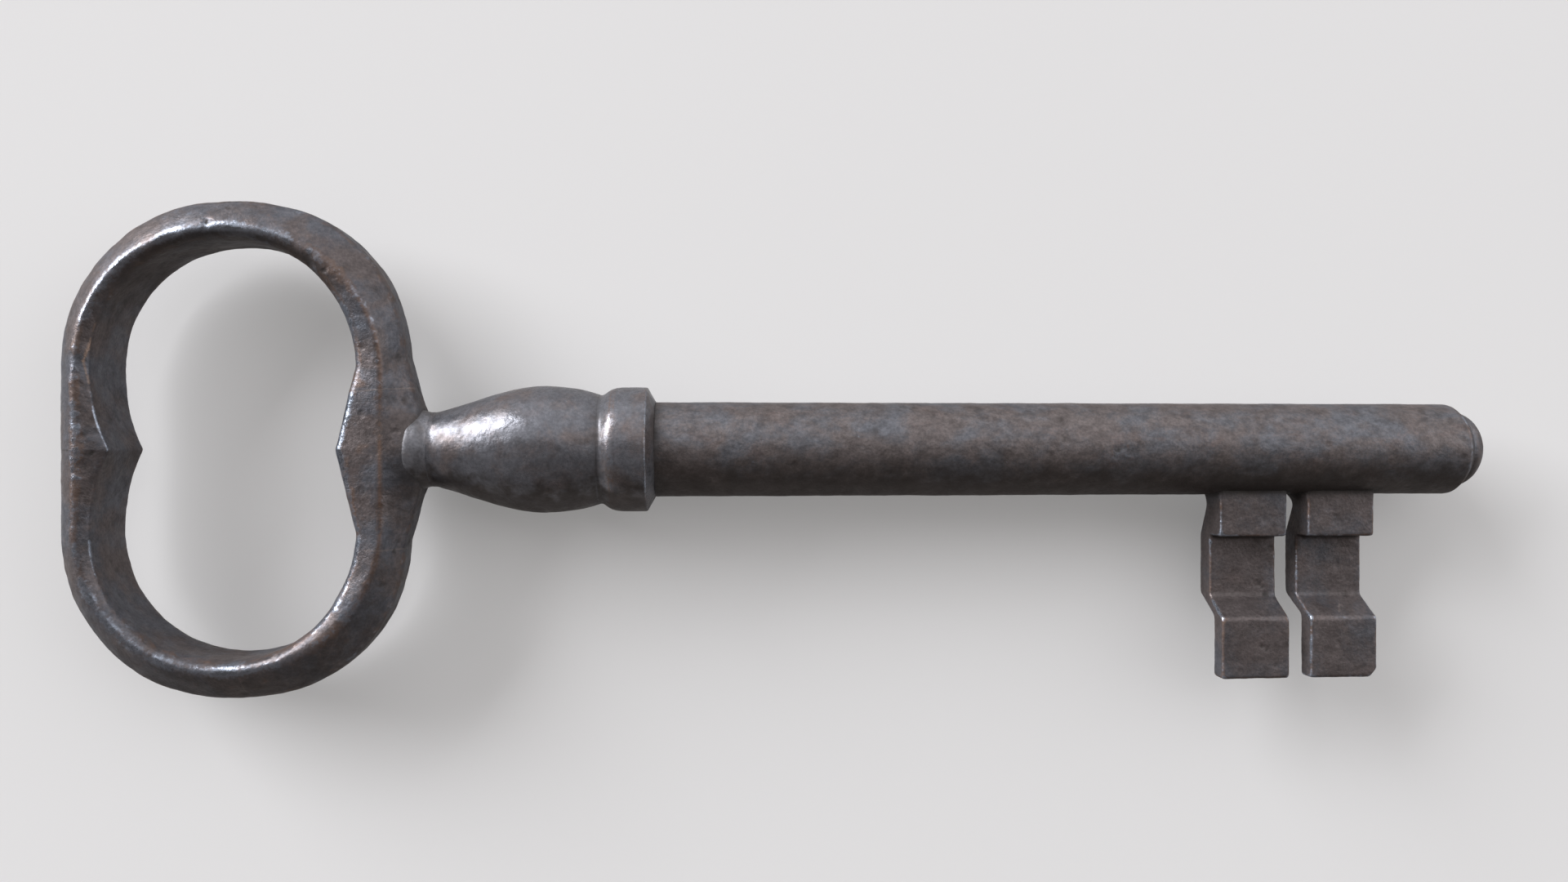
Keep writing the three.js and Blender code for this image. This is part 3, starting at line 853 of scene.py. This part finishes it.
BEAD = {**TURNED, "blue": (0.165, 0.165, 0.18, 1), "brown": (0.17, 0.15, 0.147, 1)}
BAR = {
    **FORGED,
    "patch": 4.5 * MM,
    "stretch": (0.75, 1.1, 1),
    "mottle": 0.2,
    "blue": (0.102, 0.103, 0.114, 1),
    "brown": (0.112, 0.095, 0.092, 1),
    "brown_share": 0.52,
    "bloom_share": 0.36,
    "relief": 0.6,
    "painted_shade": 0.95,
    "painted_shade_start": -0.1,
}
BIT = {
    **FORGED,
    "patch": 7.0 * MM,
    "mottle": 0.14,
    "blue": (0.088, 0.088, 0.098, 1),
    "brown_share": 0.55,
    "pit_share": 0.12,
    "wear_and_highlight": 0.5,
    "bright_share": 0.8,
    "rust": 0.45,
    "coarse": 0.55,
}

PALE_LINE = (0.2, 0.165, 0.15, 1)
DARK_LINE = (0.03, 0.026, 0.024, 1)
RUST_LINE = (0.3, 0.2, 0.14, 1)

# Scratches as (from, to, width, lowest place over the axis, strength, color), in millimetres
BOW_LINES = [
    ((-43.65, 5.57), (-38.5, 6.03), 0.11, 0.5, 0.5, PALE_LINE),
    ((-43.65, -9.64), (-38.96, -9.75), 0.11, 0.5, 0.45, PALE_LINE),
    ((-71.21, -0.04), (-69.0, -0.04), 0.1, 0.5, 0.7, DARK_LINE),
    ((-54.26, -21.75), (-54.14, -23.18), 0.12, 0.5, 0.5, PALE_LINE),
    ((-67.44, 12.02), (-68.52, 8.38), 0.16, 3.15, 0.6, RUST_LINE),
    ((-68.52, 8.38), (-68.1, 6.24), 0.12, 3.15, 0.4, RUST_LINE),
]
BIT_LINES = [((55.85, -17.0), (56.5, -16.35), 0.12, 0.0, 0.6, PALE_LINE)]

FLOAT = "NodeSocketFloat"
COLOR = "NodeSocketColor"
VECTOR = "NodeSocketVector"


class Wiring:
    """Adds nodes to one node tree and joins their sockets."""

    def __init__(self, tree):
        self.tree = tree

    def node(self, kind, sockets=None, **settings):
        made = self.tree.nodes.new(kind)
        for name, value in settings.items():
            setattr(made, name, value)
        for name, value in (sockets or {}).items():
            self.plug(value, made.inputs[name])
        return made

    def plug(self, value, socket):
        if isinstance(value, bpy.types.NodeSocket):
            self.tree.links.new(value, socket)
        else:
            socket.default_value = value

    def group(self, tree, sockets):
        made = self.tree.nodes.new("ShaderNodeGroup")
        made.node_tree = tree
        for name, value in sockets.items():
            self.plug(value, made.inputs[name])
        return made

    def math(self, operation, a, b=0.0, clamp=False):
        made = self.tree.nodes.new("ShaderNodeMath")
        made.operation = operation
        made.use_clamp = clamp
        self.plug(a, made.inputs[0])
        self.plug(b, made.inputs[1])
        return made.outputs[0]

    def span(self, value, low, high, to_low=0.0, to_high=1.0):
        made = self.node("ShaderNodeMapRange", interpolation_type="SMOOTHSTEP")
        for socket, number in zip(made.inputs, (value, low, high, to_low, to_high)):
            self.plug(number, socket)
        return made.outputs[0]

    def blend(self, a, b, a_share, b_share):
        """The sum of two values, each times its share."""
        return self.math("ADD", self.math("MULTIPLY", a, a_share), self.math("MULTIPLY", b, b_share))

    def mix(self, share, a, b, blend="MIX"):
        made = self.node("ShaderNodeMix", data_type="RGBA", blend_type=blend)
        self.plug(share, made.inputs["Factor"])
        self.plug(a, made.inputs[6])
        self.plug(b, made.inputs[7])
        return made.outputs[2]

    def noise(self, size, detail, roughness=0.55, distortion=0.0, place=None):
        """Soft noise with lumps of about the given size in metres."""
        if place is None:
            place = self.node("ShaderNodeTexCoord").outputs["Object"]
        scale = 1.0 / size if isinstance(size, float) else self.math("DIVIDE", 1.0, size)
        sockets = {"Vector": place, "Scale": scale, "Detail": detail, "Roughness": roughness}
        sockets["Distortion"] = distortion
        return self.node("ShaderNodeTexNoise", sockets).outputs["Fac"]

    def vector(self, operation, a, b=(0, 0, 0)):
        made = self.node("ShaderNodeVectorMath", operation=operation)
        self.plug(a, made.inputs[0])
        self.plug(b, made.inputs[1])
        return made.outputs["Value" if operation in ("DOT_PRODUCT", "LENGTH") else "Vector"]

    def kept(self, name):
        return self.node("ShaderNodeAttribute", attribute_name=name).outputs["Fac"]


def shader_group(name, inputs, outputs):
    """A shader node group with the given (name, socket type, default) inputs and (name, type) outputs."""
    tree = bpy.data.node_groups.new(name, "ShaderNodeTree")
    for label, kind, default in inputs:
        socket = tree.interface.new_socket(label, in_out="INPUT", socket_type=kind)
        socket.default_value = default
    for label, kind in outputs:
        tree.interface.new_socket(label, in_out="OUTPUT", socket_type=kind)
    wiring = Wiring(tree)
    start = wiring.node("NodeGroupInput")
    end = wiring.node("NodeGroupOutput")
    return tree, wiring, start.outputs, end.inputs


def patina_group():
    """Iron skin: blue scale and brown oxide in soft patches, with fine speckle."""
    tree, w, given, out = shader_group(
        "Iron patina",
        [
            ("Patch Size", FLOAT, 0.004),
            ("Speckle Size", FLOAT, 0.0003),
            ("Blue", COLOR, (0.2, 0.2, 0.22, 1)),
            ("Brown", COLOR, (0.17, 0.13, 0.12, 1)),
            ("Dark", COLOR, (0.06, 0.055, 0.055, 1)),
            ("Brown Share", FLOAT, 0.5),
            ("Stretch", VECTOR, (1, 1, 1)),
            ("Mottle", FLOAT, 0.12),
            ("Bloom", COLOR, (0.16, 0.11, 0.09, 1)),
            ("Bloom Share", FLOAT, 0.3),
        ],
        [("Color", COLOR), ("Tone", FLOAT)],
    )
    place = w.vector("MULTIPLY", w.node("ShaderNodeTexCoord").outputs["Object"], given["Stretch"])
    patches = w.noise(given["Patch Size"], 6.0, 0.62, 0.3, place)
    speckle = w.noise(given["Speckle Size"], 3.0, 0.6)
    both = w.blend(speckle, patches, SPECKLE_SHARE, 1 - SPECKLE_SHARE)
    edge = w.math("SUBTRACT", 1.0, given["Brown Share"])
    brown = w.span(both, w.math("SUBTRACT", edge, PATCH_BLUR), w.math("ADD", edge, PATCH_BLUR))
    color = w.mix(brown, given["Blue"], given["Brown"])
    deep = w.noise(w.math("MULTIPLY", given["Patch Size"], DEEP_SIZE), 6.0, 0.62)
    color = w.mix(w.span(deep, 0.5, 0.78, to_high=DEEP_STRENGTH), color, given["Dark"])
    bloom = w.noise(w.math("MULTIPLY", given["Patch Size"], BLOOM_SIZE), 7.0, 0.72, 0.4, place)
    color = w.mix(w.math("MULTIPLY", w.span(bloom, 0.52, 0.68), given["Bloom Share"]), color, given["Bloom"])
    mottle = w.noise(w.math("MULTIPLY", given["Patch Size"], MOTTLE_SIZE), 4.0, 0.65, 0.0, place)
    darkest = w.math("SUBTRACT", 1.0, given["Mottle"])
    palest = w.math("ADD", given["Mottle"], 1.0)
    color = w.mix(1.0, color, w.span(mottle, 0.32, 0.68, darkest, palest), "MULTIPLY")
    flecked = w.span(speckle, 0.3, 0.7, 1 - SPECKLE_CONTRAST, 1 + SPECKLE_CONTRAST)
    color = w.mix(1.0, color, flecked, "MULTIPLY")
    w.plug(color, out["Color"])
    w.plug(deep, out["Tone"])
    return tree


def grain_group():
    """Fine grain of forged and filed iron, with scattered pits."""
    tree, w, given, out = shader_group(
        "Forge grain",
        [("Grain Size", FLOAT, 0.0003), ("Pit Size", FLOAT, 0.0012), ("Pit Share", FLOAT, 0.3)],
        [("Height", FLOAT), ("Pits", FLOAT), ("Grain", FLOAT)],
    )
    grain = w.noise(given["Grain Size"], 3.0, 0.6)
    coarse = w.noise(w.math("MULTIPLY", given["Grain Size"], COARSE_GRAIN_SIZE), 3.0, 0.55)
    place = w.node("ShaderNodeTexCoord").outputs["Object"]
    scale = w.math("DIVIDE", 1.0, given["Pit Size"])
    cells = w.node("ShaderNodeTexVoronoi", {"Vector": place, "Scale": scale, "Randomness": 1.0})
    chosen = w.node("ShaderNodeSeparateColor", {"Color": cells.outputs["Color"]}).outputs[0]
    picked = w.math("LESS_THAN", chosen, given["Pit Share"])
    hollow = w.span(cells.outputs["Distance"], 0.1, 0.36, to_low=1.0, to_high=0.0)
    ragged = w.span(coarse, 0.35, 0.6)
    pits = w.math("MULTIPLY", w.math("MULTIPLY", hollow, picked), ragged)
    height = w.blend(grain, coarse, GRAIN_HEIGHT, COARSE_HEIGHT)
    height = w.math("SUBTRACT", height, w.math("MULTIPLY", pits, PIT_DEPTH))
    w.plug(height, out["Height"])
    w.plug(pits, out["Pits"])
    w.plug(grain, out["Grain"])
    return tree


def wear_group():
    """Edges and high spots worn bright in flecks, partly painted highlight where marked, with rust along them
    elsewhere and on the crest.
    """
    tree, w, given, out = shader_group(
        "Rubbed edges and painted highlights",
        [("Amount", FLOAT, 0.5), ("Fleck Size", FLOAT, 0.0004)],
        [("Mask", FLOAT), ("Rust Line", FLOAT)],
    )
    # Worn edges, together with the marked parts that are partly painted highlight
    worn = w.math("MAXIMUM", w.kept("worn"), w.kept("rubbed_and_highlight"))
    flecks = w.noise(given["Fleck Size"], 4.0, 0.7)
    stretches = w.noise(w.math("MULTIPLY", given["Fleck Size"], STRETCH_SIZE), 3.0, 0.6)
    broken = w.blend(flecks, stretches, FLECK_SHARE, 1 - FLECK_SHARE)
    raised = w.math("ADD", worn, w.math("MULTIPLY", w.math("SUBTRACT", broken, 0.5), WEAR_BREAKAGE))
    start = w.math("SUBTRACT", 1.0, given["Amount"])
    bare_and_highlight = w.span(raised, w.math("ADD", start, BARE_FROM), w.math("ADD", start, BARE_TO))
    w.plug(w.math("MULTIPLY", bare_and_highlight, w.span(worn, 0.25, 0.7)), out["Mask"])
    rusty = w.math("MULTIPLY", w.span(w.kept("worn"), 0.3, 0.7), w.span(stretches, 0.62, 0.42))
    rusty = w.math("MULTIPLY", rusty, w.math("SUBTRACT", 1.0, w.kept("rubbed_and_highlight")))
    crest = w.math("MULTIPLY", w.kept("crest"), w.span(broken, 0.35, 0.55, to_high=CREST_STRENGTH))
    w.plug(w.math("MAXIMUM", rusty, crest), out["Rust Line"])
    return tree


def line_group():
    """A thin line scratched or struck into the upper side between two points, broken up by noise."""
    tree, w, given, out = shader_group(
        "Struck line",
        [
            ("From", VECTOR, (0, 0, 0)),
            ("To", VECTOR, (0, 0, 0)),
            ("Width", FLOAT, 0.0001),
            ("Above", FLOAT, 0.0),
        ],
        [("Mask", FLOAT)],
    )
    place = w.node("ShaderNodeTexCoord").outputs["Object"]
    flat = w.vector("MULTIPLY", place, (1, 1, 0))
    along = w.vector("SUBTRACT", given["To"], given["From"])
    offset = w.vector("SUBTRACT", flat, given["From"])
    length = w.vector("DOT_PRODUCT", along, along)
    passed = w.math("DIVIDE", w.vector("DOT_PRODUCT", offset, along), length, True)
    nearest = w.vector("MULTIPLY", along, passed)
    away = w.vector("LENGTH", w.vector("SUBTRACT", offset, nearest))
    broken = w.noise(0.5 * MM, 3.0, 0.6)
    width = w.math("MULTIPLY", given["Width"], w.span(broken, 0.3, 0.6, 0.3, 1.3))
    height = w.node("ShaderNodeSeparateXYZ", {"Vector": place}).outputs["Z"]
    line = w.math("SUBTRACT", 1.0, w.math("DIVIDE", away, width), True)
    w.plug(w.math("MULTIPLY", line, w.math("GREATER_THAN", height, given["Above"])), out["Mask"])
    return tree


def grime_group():
    """Soot and rust held in hollows, with soiling and painted shade along seams, and painted shade on the
    side facing -Y.
    """
    tree, w, given, out = shader_group(
        "Grime and painted shade",
        [
            ("Amount", FLOAT, 0.8),
            ("Break Size", FLOAT, 0.002),
            ("Painted Shade", FLOAT, 0.5),
            ("Painted Shade Start", FLOAT, 0.0),
        ],
        [("Mask", FLOAT), ("Painted Shade", FLOAT)],
    )
    # Soot held in hollows, and soiling with painted shade along seams
    held = w.math("MAXIMUM", w.kept("sunk"), w.kept("seam"))
    broken = w.noise(given["Break Size"], 4.0, 0.6)
    mask = w.span(w.math("ADD", held, w.math("MULTIPLY", broken, GRIME_BREAKAGE)), 0.2, 0.95)
    w.plug(w.math("MULTIPLY", mask, given["Amount"]), out["Mask"])
    # Painted shade on the side facing -Y, broken up by noise
    uneven = w.math("MULTIPLY", w.math("SUBTRACT", broken, 0.5), PAINTED_SHADE_BREAKAGE)
    painted_shade = w.span(w.math("ADD", w.kept("shaded_side"), uneven), given["Painted Shade Start"], 1.0)
    painted_shade = w.math("MULTIPLY", painted_shade, w.span(w.kept("shaded_side"), 0.0, 0.3))
    w.plug(w.math("MULTIPLY", painted_shade, given["Painted Shade"]), out["Painted Shade"])
    return tree


def iron(name, groups, finish, lines=()):
    """One iron finish from the shared effects, with its scratches."""
    material = bpy.data.materials.new(name)
    material.use_nodes = True
    material.node_tree.nodes.clear()
    w = Wiring(material.node_tree)
    patina = w.group(groups["patina"], {
        "Patch Size": finish["patch"],
        "Speckle Size": finish["speckle"],
        "Blue": finish["blue"],
        "Brown": finish["brown"],
        "Dark": finish["dark"],
        "Brown Share": finish["brown_share"],
        "Stretch": finish["stretch"],
        "Mottle": finish["mottle"],
        "Bloom": finish["bloom"],
        "Bloom Share": finish["bloom_share"],
    }).outputs
    grain = w.group(groups["grain"], {
        "Grain Size": finish["grain"],
        "Pit Size": finish["pit"],
        "Pit Share": finish["pit_share"],
    }).outputs
    wear_and_highlight = w.group(groups["wear_and_highlight"], {"Amount": finish["wear_and_highlight"], "Fleck Size": FLECK_SIZE}).outputs
    grime_and_shade = w.group(groups["grime_and_shade"], {
        "Amount": finish["grime_and_shade"],
        "Break Size": GRIME_BREAK_SIZE,
        "Painted Shade": finish["painted_shade"],
        "Painted Shade Start": finish["painted_shade_start"],
    }).outputs
    color = w.mix(w.math("MULTIPLY", grain["Pits"], PIT_DARKNESS), patina["Color"], finish["dark"])
    color = w.mix(w.math("MULTIPLY", wear_and_highlight["Rust Line"], finish["rust"]), color, finish["rust_color"])
    for start, end, width, lowest, strength, line_color in lines:
        struck = w.group(groups["line"], {
            "From": (start[0] * MM, start[1] * MM, 0),
            "To": (end[0] * MM, end[1] * MM, 0),
            "Width": width * MM,
            "Above": AXIS_Z + lowest * MM,
        }).outputs["Mask"]
        color = w.mix(w.math("MULTIPLY", struck, strength), color, line_color)
    # Painted shade: the side facing -Y darkened towards the dark colour
    color = w.mix(grime_and_shade["Painted Shade"], color, finish["dark"])
    # Hollows and seams darkened towards near-black, the seams partly as painted shade
    color = w.mix(grime_and_shade["Mask"], color, finish["soot_and_shade"])
    # Worn metal and painted highlights: lighter bluish colour, smoother and more metallic
    bare_and_highlight = w.math("MULTIPLY", wear_and_highlight["Mask"], w.math("SUBTRACT", 1.0, grime_and_shade["Painted Shade"]))
    color = w.mix(w.math("MULTIPLY", bare_and_highlight, finish["bright_share"]), color, finish["bright"])
    rough = w.span(patina["Tone"], 0.3, 0.7, finish["smooth"], finish["coarse"])
    grains = w.math("SUBTRACT", grain["Grain"], 0.5)
    rough = w.math("ADD", rough, w.math("MULTIPLY", grains, GRAIN_ROUGHNESS))
    rough = w.math("SUBTRACT", rough, w.math("MULTIPLY", bare_and_highlight, BARE_POLISH))
    rough = w.math("ADD", rough, w.math("MULTIPLY", grime_and_shade["Painted Shade"], PAINTED_SHADE_ROUGHNESS))
    rough = w.math("ADD", rough, w.math("MULTIPLY", grime_and_shade["Mask"], GRIME_ROUGHNESS), True)
    metal = w.math("ADD", finish["metal"], w.math("MULTIPLY", bare_and_highlight, BARE_METAL))
    metal = w.math("SUBTRACT", metal, w.math("MULTIPLY", grime_and_shade["Mask"], GRIME_METAL), True)
    bump = w.node("ShaderNodeBump", {
        "Strength": finish["relief"],
        "Distance": RELIEF_DEPTH,
        "Height": grain["Height"],
    })
    shader = w.node("ShaderNodeBsdfPrincipled", {
        "Base Color": color,
        "Metallic": metal,
        "Roughness": rough,
        "Specular Tint": EDGE_TINT,
        "Specular IOR Level": SPECULAR_LEVEL,
        "Normal": bump.outputs["Normal"],
    })
    w.node("ShaderNodeOutputMaterial", {"Surface": shader.outputs["BSDF"]})
    return material


def dress_key():
    groups = {
        "patina": patina_group(),
        "grain": grain_group(),
        "wear_and_highlight": wear_group(),
        "grime_and_shade": grime_group(),
        "line": line_group(),
    }
    irons = {
        "forged": iron("Forged bow iron", groups, FORGED, BOW_LINES),
        "turned": iron("Turned stem iron", groups, TURNED),
        "bead": iron("Rubbed bead iron", groups, BEAD),
        "bar": iron("Round bar iron", groups, BAR),
        "filed": iron("Filed bit iron", groups, BIT, BIT_LINES),
    }
    nose_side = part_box("outer_bit_leaf")[1].x
    worn_corner = ((nose_side - WORN_CORNER_SETBACK, -BIT_REACH, 0), WORN_CORNER_DIRECTION)
    inner_dents = dents_on(AXIS_Z, INNER_DENTS)
    outer_dents = dents_on(AXIS_Z, OUTER_DENTS)
    pieces = {
        "shank": make_shank(),
        "collar": make_collar(),
        "baluster": make_baluster(),
        "neck_bead": make_neck_bead(),
        "bow": make_bow(),
        "inner_bit_leaf": make_leaf("inner_bit_leaf", INNER_LUMPS, INNER_FLARE, inner_dents),
        "outer_bit_leaf": make_leaf("outer_bit_leaf", OUTER_LUMPS, OUTER_FLARE, outer_dents, [worn_corner]),
    }
    mark_seams([(pieces[first], pieces[second], seam_strength, reach) for first, second, seam_strength, reach in SEAMS])
    for node, (metal, slot, rounds, full) in DRESS.items():
        mark_edges(pieces[node], rounds, full)
        finish_piece(pieces[node], irons[metal], node)
    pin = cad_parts["bow_pin"]
    pin.data.materials.clear()
    pin.data.materials.append(irons["forged"])


# Studio

CAMERA_PLACE = Vector((-10.0 * MM, 0.84 * MM, 114.7 * MM))
CAMERA_YAW = math.radians(-4.2)
CAMERA_LENS = 24.44
SENSOR_WIDTH = 36.0
NEAREST = 0.005
FARTHEST = 80.0
HORIZON_LOW = 0.04
HORIZON_HIGH = 0.3
HORIZON_COLOR = (0.6, 0.6, 0.6, 1)
ROOM_COLOR = (0.17, 0.153, 0.145, 1)
LAMP_COLOR = (0.94, 0.96, 1.0)
LAMPS = [  # as (name, direction, distance, size, watts)
    ("key_softbox", (-0.76, 0.54, 0.36), 3.6, (2.8, 1.52), 232.0),
    ("wide_softbox", (0.3, 0.72, 0.62), 4.8, (12.0, 7.2), 288.0),
    ("side_softbox", (0.86, 0.22, 0.42), 4.0, (3.6, 2.8), 28.0),
]
FLOOR_HALF_SIZE = 24.0
FLOOR_COLOR = (0.5, 0.488, 0.48, 1)
FLOOR_ROUGHNESS = 0.9
FLOOR_SPECULAR = 0.1
FLOOR_GLOW = 0.2


def add_camera():
    data = bpy.data.cameras.new("photo_camera")
    data.lens = CAMERA_LENS
    data.sensor_width = SENSOR_WIDTH
    data.clip_start = NEAREST
    data.clip_end = FARTHEST
    camera = bpy.data.objects.new("photo_camera", data)
    camera.location = CAMERA_PLACE
    camera.rotation_euler = (0, CAMERA_YAW, 0)
    bpy.context.scene.collection.objects.link(camera)
    bpy.context.scene.camera = camera


def add_light(name, towards, distance, size, watts):
    """A rectangular lamp in the given direction from the key, facing it."""
    data = bpy.data.lights.new(name, "AREA")
    data.shape = "RECTANGLE"
    data.size, data.size_y = size
    data.energy = watts
    data.color = LAMP_COLOR
    lamp = bpy.data.objects.new(name, data)
    direction = Vector(towards).normalized()
    lamp.location = direction * distance
    lamp.rotation_euler = direction.to_track_quat("Z", "Y").to_euler()
    bpy.context.scene.collection.objects.link(lamp)


def add_floor():
    corners = [(x * FLOOR_HALF_SIZE, y * FLOOR_HALF_SIZE, 0) for x, y in ((-1, -1), (1, -1), (1, 1), (-1, 1))]
    floor = object_from("studio_floor", corners, [(0, 1, 2, 3)])
    material = bpy.data.materials.new("Pale floor")
    material.use_nodes = True
    shader = material.node_tree.nodes["Principled BSDF"]
    shader.inputs["Base Color"].default_value = FLOOR_COLOR
    shader.inputs["Roughness"].default_value = FLOOR_ROUGHNESS
    shader.inputs["Specular IOR Level"].default_value = FLOOR_SPECULAR
    shader.inputs["Emission Color"].default_value = (1, 1, 1, 1)
    w = Wiring(material.node_tree)
    path = w.node("ShaderNodeLightPath").outputs
    seen = w.math("MAXIMUM", path["Is Camera Ray"], path["Is Glossy Ray"])
    seen = w.math("MAXIMUM", seen, path["Is Transmission Ray"])
    w.plug(w.math("MULTIPLY", seen, FLOOR_GLOW), shader.inputs["Emission Strength"])
    floor.data.materials.append(material)


def light_studio():
    """A dim warm room with a pale horizon, and softboxes at the upper left, above and at the nose."""
    world = bpy.data.worlds.new("Studio")
    world.use_nodes = True
    w = Wiring(world.node_tree)
    direction = w.node("ShaderNodeTexCoord").outputs["Generated"]
    height = w.node("ShaderNodeSeparateXYZ", {"Vector": direction}).outputs["Z"]
    overhead = w.span(height, HORIZON_LOW, HORIZON_HIGH)
    background = world.node_tree.nodes["Background"]
    w.plug(w.mix(overhead, HORIZON_COLOR, ROOM_COLOR), background.inputs["Color"])
    bpy.context.scene.world = world
    for lamp in LAMPS:
        add_light(*lamp)
    bpy.context.scene.view_settings.view_transform = "Standard"


add_camera()
dress_key()
add_floor()
light_studio()

bpy.context.view_layer.update()
